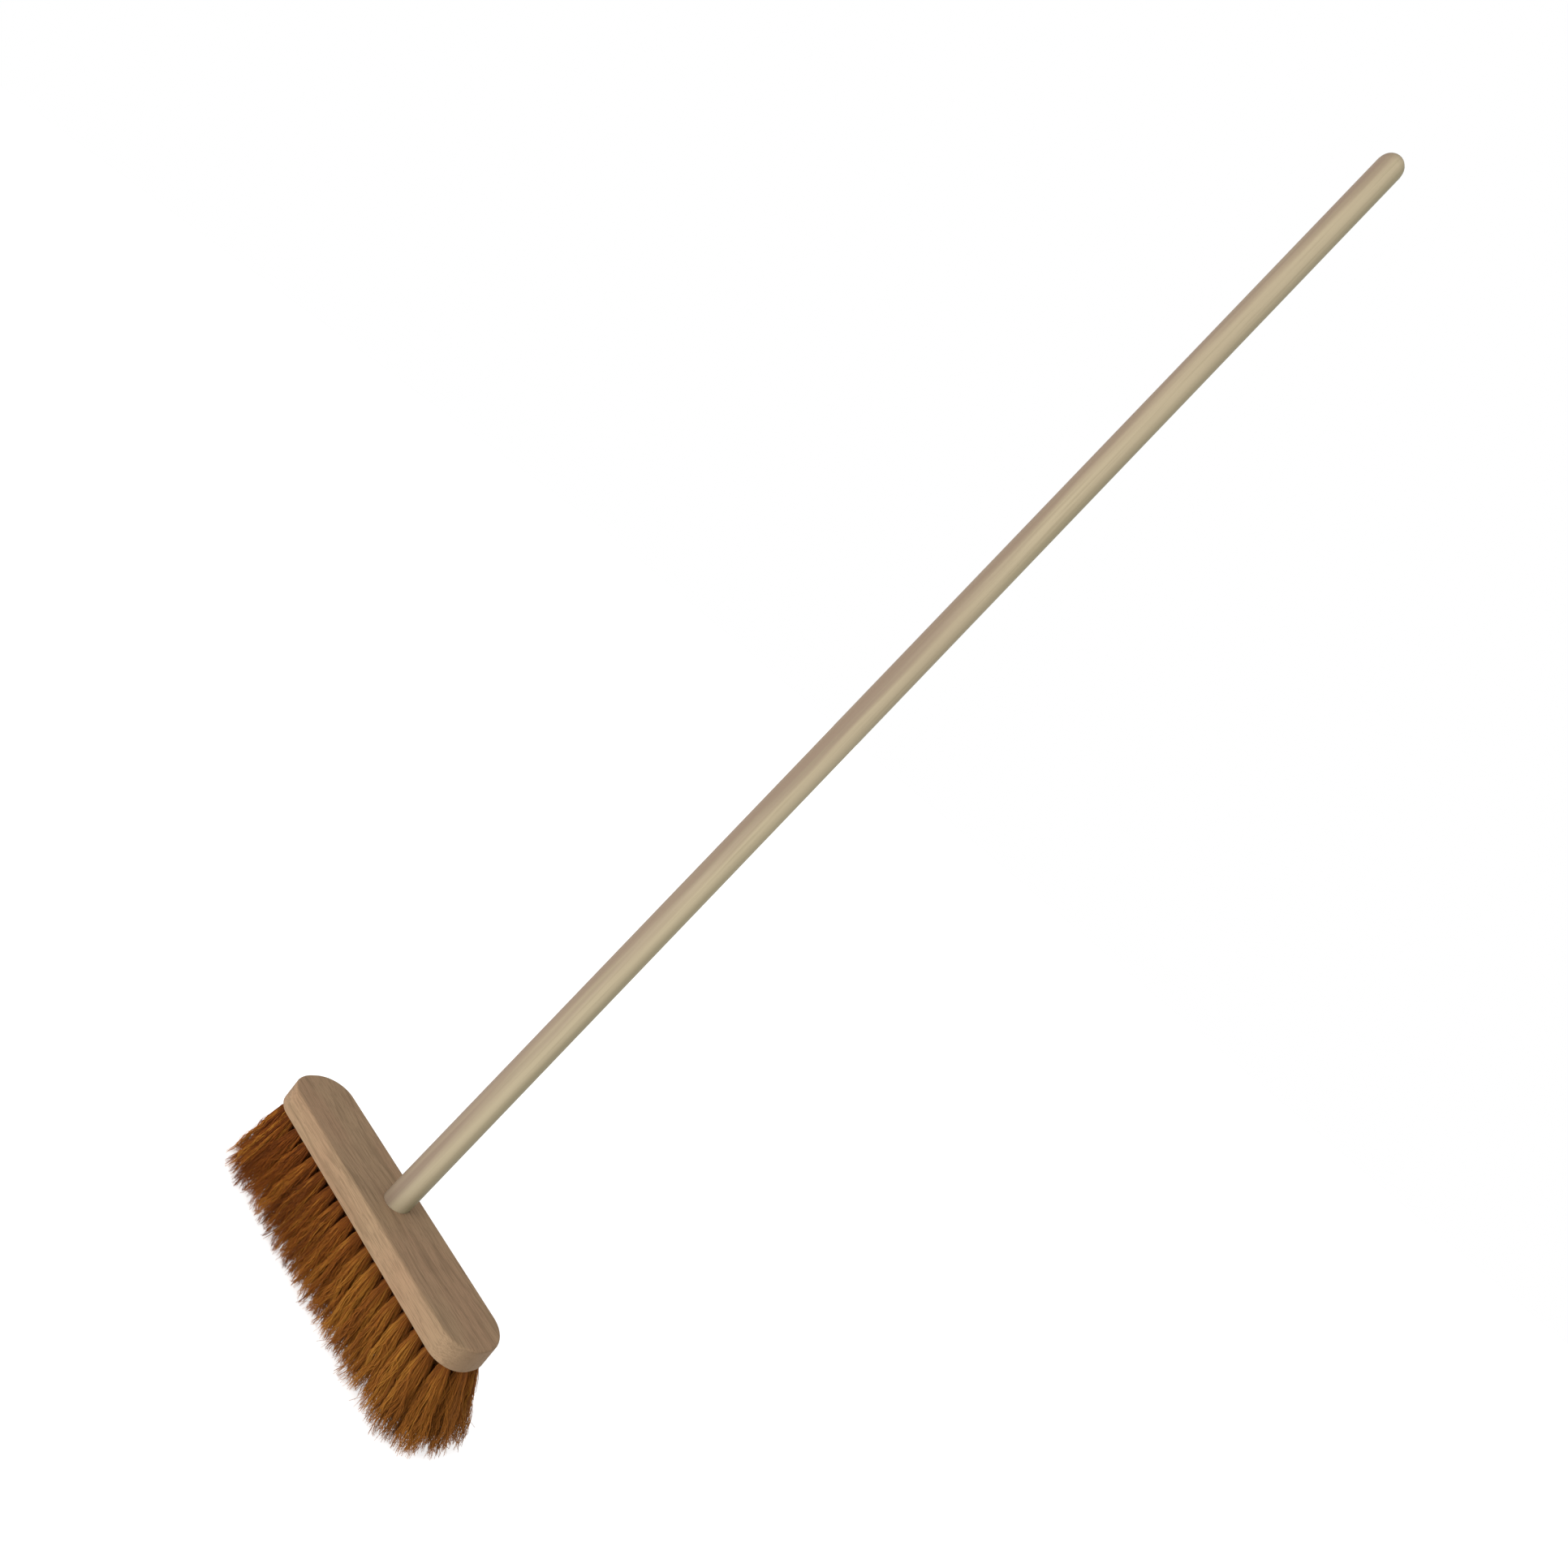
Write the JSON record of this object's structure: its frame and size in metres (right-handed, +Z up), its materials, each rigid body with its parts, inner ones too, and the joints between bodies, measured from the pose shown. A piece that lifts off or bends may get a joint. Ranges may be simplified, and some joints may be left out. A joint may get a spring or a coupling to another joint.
{
  "type": "push broom",
  "caption": "Push broom with a round-ended wooden stock drilled and filled with coir tufts, on a long plain round handle set at a slant.",
  "frame": {"origin": "centre of the sweeping face, on the floor, midway along and across the head", "axes": "+X along the head, +Y the way the handle leans, +Z up from the floor through the stock"},
  "size_m": [0.3162, 0.2545, 1.2202],
  "materials": {
    "stock_wood": "satin",
    "handle_wood": "satin",
    "coir": "matte",
    "screw_steel": "satin",
    "anchor_wire": "satin"
  },
  "bodies": {
    "root": {"stock": "stock_wood", "handle": "handle_wood", "handle_screw": "screw_steel", "tuft_anchors": "anchor_wire", "tuft_rank_01": "coir", "tuft_rank_02": "coir", "tuft_rank_03": "coir", "tuft_rank_04": "coir", "tuft_rank_05": "coir", "tuft_rank_06": "coir", "tuft_rank_07": "coir", "tuft_rank_08": "coir", "tuft_rank_09": "coir", "tuft_rank_10": "coir", "tuft_rank_11": "coir", "tuft_rank_12": "coir", "tuft_rank_13": "coir", "tuft_rank_14": "coir", "tuft_rank_15": "coir", "tuft_rank_16": "coir", "tuft_rank_17": "coir", "tuft_rank_18": "coir"}
  },
  "joints": []
}
